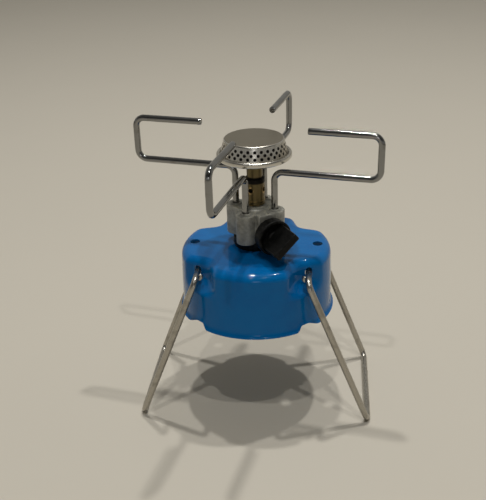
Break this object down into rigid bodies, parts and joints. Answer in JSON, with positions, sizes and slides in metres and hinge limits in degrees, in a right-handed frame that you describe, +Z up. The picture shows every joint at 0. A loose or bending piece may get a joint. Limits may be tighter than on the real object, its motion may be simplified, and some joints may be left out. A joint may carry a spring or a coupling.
{
  "type": "camping gas stove",
  "caption": "Single-burner camping gas stove: blue pressed cup for a pierceable cartridge, wire bail legs, screw-in burner with swivelling wire pot supports and a black control knob.",
  "frame": {"origin": "on the floor under the burner's axis, the centre of the bounding box's bottom face", "axes": "+Z up along the burner's axis, +X across the two leg bails, +Y away from the picture's viewer"},
  "size_m": [0.1516, 0.1516, 0.1845],
  "materials": {
    "blue_enamel": "gloss",
    "black_plastic": "satin",
    "plated_steel": "satin",
    "leg_wire": "satin",
    "support_wire": "polished",
    "brass": "satin",
    "dark_brass": "tarnished",
    "bronze": "matt",
    "die_cast": "as cast",
    "burner_steel": "heat dulled",
    "rubber": "matt"
  },
  "bodies": {
    "stand": {"cartridge_cup": "blue_enamel", "neck_collar": "black_plastic", "collar_washer": "plated_steel", "collar_nut": "brass"},
    "left_leg": {"leg_left": "leg_wire"},
    "right_leg": {"leg_right": "leg_wire"},
    "seal": {"cartridge_seal": "rubber"},
    "burner": {"threaded_neck": "brass", "piercing_needle": "plated_steel", "gas_filter": "bronze", "valve_body": "die_cast", "support_clips": "plated_steel", "injector_jet": "brass", "air_sleeve": "dark_brass", "burner_tube": "dark_brass", "burner_base": "burner_steel", "port_gauze": "burner_steel", "burner_cap": "burner_steel", "gland_nut": "brass"},
    "packing": {"spindle_oring": "rubber"},
    "knob": {"valve_spindle": "brass", "control_knob": "black_plastic"},
    "right_support": {"pot_support_right": "support_wire"},
    "rear_support": {"pot_support_rear": "support_wire"},
    "left_support": {"pot_support_left": "support_wire"},
    "front_support": {"pot_support_front": "support_wire"}
  },
  "joints": [
    {"name": "leg_left_swing", "type": "hinge", "parent": "stand", "child": "left_leg", "pos_m": [-0.0336, 0, 0.0987], "axis": [0, -1, 0], "range_deg": [0, 22]},
    {"name": "leg_right_swing", "type": "hinge", "parent": "stand", "child": "right_leg", "pos_m": [0.0336, 0, 0.0987], "axis": [0, 1, 0], "range_deg": [0, 22]},
    {"name": "burner_lift", "type": "slide", "parent": "stand", "child": "seal", "axis": [0, 0, 1], "range_m": [0, 0.012]},
    {"name": "burner_turn", "type": "hinge", "parent": "seal", "child": "burner", "pos_m": [0, 0, 0.105], "axis": [0, 0, 1], "range_deg": [0, 2160]},
    {"name": "spindle_feed", "type": "slide", "parent": "burner", "child": "packing", "axis": [0.5299, -0.848, 0], "range_m": [0, 0.00105]},
    {"name": "knob_turn", "type": "hinge", "parent": "packing", "child": "knob", "pos_m": [0.0106, -0.01696, 0.1206], "axis": [0.5299, -0.848, 0], "range_deg": [0, 540]},
    {"name": "support_right_swivel", "type": "hinge", "parent": "burner", "child": "right_support", "pos_m": [0.01223, -0.0047, 0.145], "axis": [0, 0, 1], "range_deg": [-9.5, 80.5]},
    {"name": "support_rear_swivel", "type": "hinge", "parent": "burner", "child": "rear_support", "pos_m": [0.0047, 0.01223, 0.145], "axis": [0, 0, 1], "range_deg": [-9.5, 80.5]},
    {"name": "support_left_swivel", "type": "hinge", "parent": "burner", "child": "left_support", "pos_m": [-0.01223, 0.0047, 0.145], "axis": [0, 0, 1], "range_deg": [-9.5, 80.5]},
    {"name": "support_front_swivel", "type": "hinge", "parent": "burner", "child": "front_support", "pos_m": [-0.0047, -0.01223, 0.145], "axis": [0, 0, 1], "range_deg": [-9.5, 80.5]}
  ],
  "couplings": [
    {"joint": "burner_turn", "follows": "burner_lift", "rad_per_m": 3141.5},
    {"joint": "spindle_feed", "follows": "knob_turn", "m_per_rad": 0.0001114}
  ]
}
